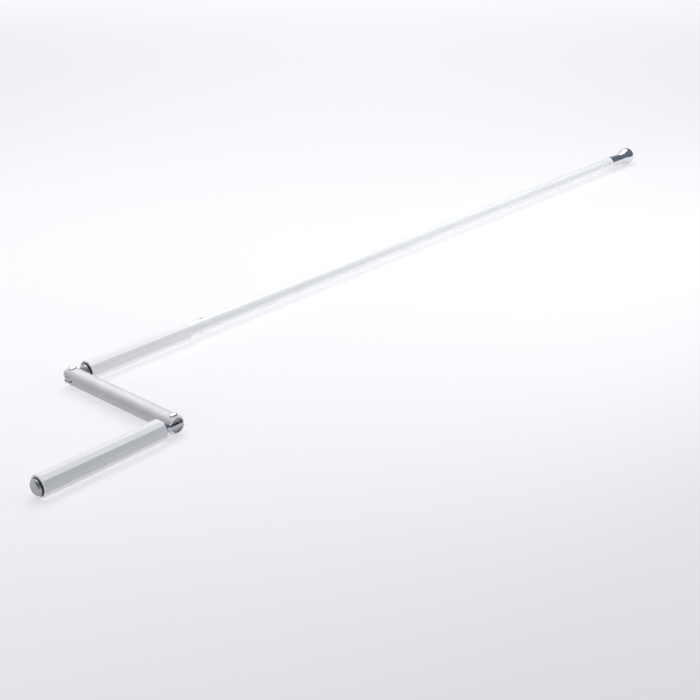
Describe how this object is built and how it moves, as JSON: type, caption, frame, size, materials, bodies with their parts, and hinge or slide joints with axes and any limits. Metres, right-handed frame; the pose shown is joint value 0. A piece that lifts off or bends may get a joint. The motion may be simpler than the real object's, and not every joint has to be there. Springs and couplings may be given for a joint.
{
  "type": "folding winding crank",
  "caption": "Folding winding crank: a long tube with a bell-shaped drive coupling, a turning grip, a hinged arm and a second turning grip, set in its Z-shaped cranking position.",
  "frame": {"origin": "axis of the bell's pilot bore, at the foot of its entry cone", "axes": "+X leaves the bell's mouth along the tube's axis, +Z is along the hinge pins and up when the crank lies flat, and the arm points along -Y"},
  "size_m": [1.3066, 0.1838, 0.0276],
  "materials": {
    "white_lacquer": "gloss",
    "white_sleeve": "satin gloss",
    "satin_aluminium": "satin",
    "plain_aluminium": "turned",
    "bright_chrome": "polished",
    "plain_steel": "drawn",
    "magnet_grey": "ground",
    "bush_black": "matt",
    "plug_grey": "matt"
  },
  "bodies": {
    "rod": {"rod_tube": "white_lacquer", "coupling_bell": "bright_chrome", "hex_insert": "plain_steel", "coupling_magnet": "magnet_grey", "tube_pins": "plain_steel", "rod_plug": "plain_aluminium", "upper_spindle": "plain_steel", "upper_knuckle": "bright_chrome", "upper_spindle_pin": "plain_steel"},
    "upper_grip": {"upper_grip": "white_sleeve", "upper_hinge_bush": "bush_black", "upper_tube_bush": "bush_black"},
    "arm": {"arm_tube": "satin_aluminium", "arm_plugs": "plug_grey", "hinge_pins": "bright_chrome", "hinge_washers": "bush_black"},
    "lower_handle": {"lower_knuckle": "bright_chrome", "lower_spindle": "plain_steel", "lower_spindle_pin": "plain_steel", "end_cap": "bright_chrome"},
    "lower_grip": {"lower_grip": "white_sleeve", "lower_cap_bush": "bush_black", "lower_hinge_bush": "bush_black"}
  },
  "joints": [
    {"name": "upper_grip_spin", "type": "hinge", "parent": "rod", "child": "upper_grip", "pos_m": [-1.144, 0, 0], "axis": [1, 0, 0], "continuous": true},
    {"name": "arm_fold", "type": "hinge", "parent": "rod", "child": "arm", "pos_m": [-1.144, 0, 0], "axis": [0, 0, 1], "range_deg": [-180, 0]},
    {"name": "handle_fold", "type": "hinge", "parent": "arm", "child": "lower_handle", "pos_m": [-1.144, -0.159, 0], "axis": [0, 0, 1], "range_deg": [0, 180]},
    {"name": "lower_grip_spin", "type": "hinge", "parent": "lower_handle", "child": "lower_grip", "pos_m": [-1.144, -0.159, 0], "axis": [1, 0, 0], "continuous": true}
  ]
}
